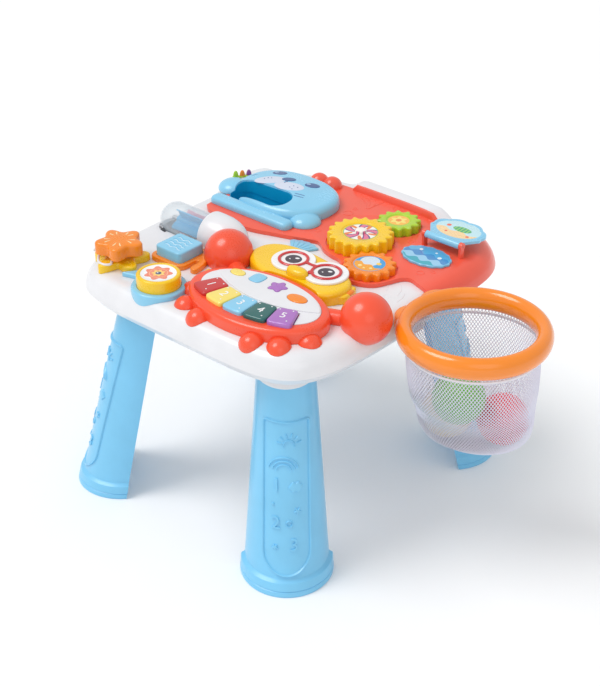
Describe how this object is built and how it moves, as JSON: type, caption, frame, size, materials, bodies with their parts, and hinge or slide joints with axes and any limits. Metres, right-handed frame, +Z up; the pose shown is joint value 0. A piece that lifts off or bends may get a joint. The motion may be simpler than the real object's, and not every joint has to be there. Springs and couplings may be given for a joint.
{
  "type": "activity table",
  "caption": "Toddler activity table on splayed half-pipe legs, with piano keys, press, spin, roll and flip toys on its tray and a clip-on net basket of play balls.",
  "frame": {"origin": "on the floor, under the middle of the whole object's bounding box", "axes": "+Z up, the child stands at -Y, and the basket hangs at +X"},
  "size_m": [0.5458, 0.433, 0.337],
  "materials": {
    "white": "gloss",
    "sky": "satin",
    "aqua": "gloss",
    "deep_blue": "gloss",
    "red": "gloss",
    "deck_red": "gloss",
    "orange": "gloss",
    "yellow": "gloss",
    "lime": "gloss",
    "pale_yellow": "gloss",
    "teal": "gloss",
    "purple": "gloss",
    "green": "satin",
    "pink": "satin",
    "clear": "clear",
    "net": "knotted mesh",
    "steel": "ground",
    "board": "solder mask",
    "black": "matte"
  },
  "bodies": {
    "table": {"table_shell": "white", "bottom_cover": "white", "battery_door": "white", "cover_screw_1": "steel", "cover_screw_2": "steel", "cover_screw_3": "steel", "cover_screw_4": "steel", "speaker": "black", "leg_front_right": "sky", "leg_front_left": "sky", "leg_back_right": "sky", "leg_back_left": "sky", "red_panel": "deck_red", "seal_body": "aqua", "mouth_cup": "deep_blue", "leaf_strip": "lime", "crab_body": "red", "piano_faceplate": "white", "circuit_board": "board", "owl_body": "yellow", "eye_plate": "white", "glasses": "red", "fan_crest": "aqua", "starfish_base": "yellow", "fish_collar": "aqua", "wave_key_frame": "orange", "roller_hood": "white", "roller_axle": "steel", "gear_axle_large": "steel", "gear_axle_small": "steel", "gear_axle_medium": "steel", "page_pin": "steel", "picture_disc": "aqua"},
    "key_1": {"piano_key_1": "red"},
    "key_2": {"piano_key_2": "pale_yellow"},
    "key_3": {"piano_key_3": "aqua"},
    "key_4": {"piano_key_4": "teal"},
    "key_5": {"piano_key_5": "purple"},
    "melody_1": {"melody_button_1": "pale_yellow"},
    "melody_2": {"melody_button_2": "aqua"},
    "melody_3": {"melody_button_3": "purple"},
    "melody_4": {"melody_button_4": "orange"},
    "beak": {"beak_button": "yellow"},
    "fish": {"fish_button": "yellow"},
    "wave": {"wave_key": "aqua"},
    "mode": {"mode_switch": "yellow"},
    "star": {"star_spinner": "orange"},
    "roller": {"roller_drum": "clear", "roller_vane": "deep_blue", "roller_bead_1": "steel", "roller_bead_2": "steel"},
    "large_gear": {"gear_large": "yellow"},
    "small_gear": {"gear_small": "lime"},
    "medium_gear": {"gear_medium": "orange"},
    "page": {"flip_page": "aqua"},
    "basket": {"basket_ring": "orange", "basket_net": "net"},
    "green_ball": {"ball_green": "green"},
    "red_ball": {"ball_red": "pink"},
    "yellow_ball": {"ball_yellow": "pale_yellow"}
  },
  "joints": [
    {"name": "key_1_press", "type": "slide", "parent": "table", "child": "key_1", "axis": [0, 0, -1], "range_m": [0, 0.003], "stiffness_N_per_m": 250},
    {"name": "key_2_press", "type": "slide", "parent": "table", "child": "key_2", "axis": [0, 0, -1], "range_m": [0, 0.003], "stiffness_N_per_m": 250},
    {"name": "key_3_press", "type": "slide", "parent": "table", "child": "key_3", "axis": [0, 0, -1], "range_m": [0, 0.003], "stiffness_N_per_m": 250},
    {"name": "key_4_press", "type": "slide", "parent": "table", "child": "key_4", "axis": [0, 0, -1], "range_m": [0, 0.003], "stiffness_N_per_m": 250},
    {"name": "key_5_press", "type": "slide", "parent": "table", "child": "key_5", "axis": [0, 0, -1], "range_m": [0, 0.003], "stiffness_N_per_m": 250},
    {"name": "melody_1_press", "type": "slide", "parent": "table", "child": "melody_1", "axis": [0, 0, -1], "range_m": [0, 0.002], "stiffness_N_per_m": 250},
    {"name": "melody_2_press", "type": "slide", "parent": "table", "child": "melody_2", "axis": [0, 0, -1], "range_m": [0, 0.002], "stiffness_N_per_m": 250},
    {"name": "melody_3_press", "type": "slide", "parent": "table", "child": "melody_3", "axis": [0, 0, -1], "range_m": [0, 0.002], "stiffness_N_per_m": 250},
    {"name": "melody_4_press", "type": "slide", "parent": "table", "child": "melody_4", "axis": [0, 0, -1], "range_m": [0, 0.002], "stiffness_N_per_m": 250},
    {"name": "beak_press", "type": "slide", "parent": "table", "child": "beak", "axis": [0, 0, -1], "range_m": [0, 0.003], "stiffness_N_per_m": 250},
    {"name": "fish_press", "type": "slide", "parent": "table", "child": "fish", "axis": [0, 0, -1], "range_m": [0, 0.003], "stiffness_N_per_m": 400},
    {"name": "wave_press", "type": "slide", "parent": "table", "child": "wave", "axis": [0, 0, -1], "range_m": [0, 0.003], "stiffness_N_per_m": 400},
    {"name": "mode_slide", "type": "slide", "parent": "table", "child": "mode", "axis": [0, 1, 0], "range_m": [-0.0035, 0.0035]},
    {"name": "star_spin", "type": "hinge", "parent": "table", "child": "star", "pos_m": [-0.21265, -0.145, 0.313], "axis": [0, 0, 1], "continuous": true},
    {"name": "roller_spin", "type": "hinge", "parent": "table", "child": "roller", "pos_m": [-0.16365, -0.034, 0.308], "axis": [1, 0, 0], "continuous": true},
    {"name": "large_gear_spin", "type": "hinge", "parent": "table", "child": "large_gear", "pos_m": [-0.02765, 0.07, 0.301], "axis": [0, 0, 1], "continuous": true},
    {"name": "small_gear_spin", "type": "hinge", "parent": "table", "child": "small_gear", "pos_m": [-0.01878, 0.13237, 0.301], "axis": [0, 0, 1], "continuous": true},
    {"name": "medium_gear_spin", "type": "hinge", "parent": "table", "child": "medium_gear", "pos_m": [0.02213, 0.02486, 0.301], "axis": [0, 0, 1], "continuous": true},
    {"name": "page_flip", "type": "hinge", "parent": "table", "child": "page", "pos_m": [0.05935, 0.116, 0.318], "axis": [1, 0, 0], "range_deg": [0, 172]},
    {"name": "basket_lift", "type": "slide", "parent": "table", "child": "basket", "axis": [0, 0, 1], "range_m": [0, 0.025]},
    {"name": "green_ball_lift", "type": "slide", "parent": "basket", "child": "green_ball", "axis": [0, 0, 1], "range_m": [0, 0.15]},
    {"name": "red_ball_roll", "type": "hinge", "parent": "basket", "child": "red_ball", "pos_m": [0.20832, 0.03998, 0.16992], "axis": [1, 0, 0], "continuous": true},
    {"name": "yellow_ball_roll", "type": "hinge", "parent": "basket", "child": "yellow_ball", "pos_m": [0.14836, 0.01596, 0.16612], "axis": [1, 0, 0], "continuous": true}
  ],
  "couplings": [
    {"joint": "small_gear_spin", "follows": "large_gear_spin", "ratio": -1.5},
    {"joint": "medium_gear_spin", "follows": "large_gear_spin", "ratio": -1.2857}
  ]
}
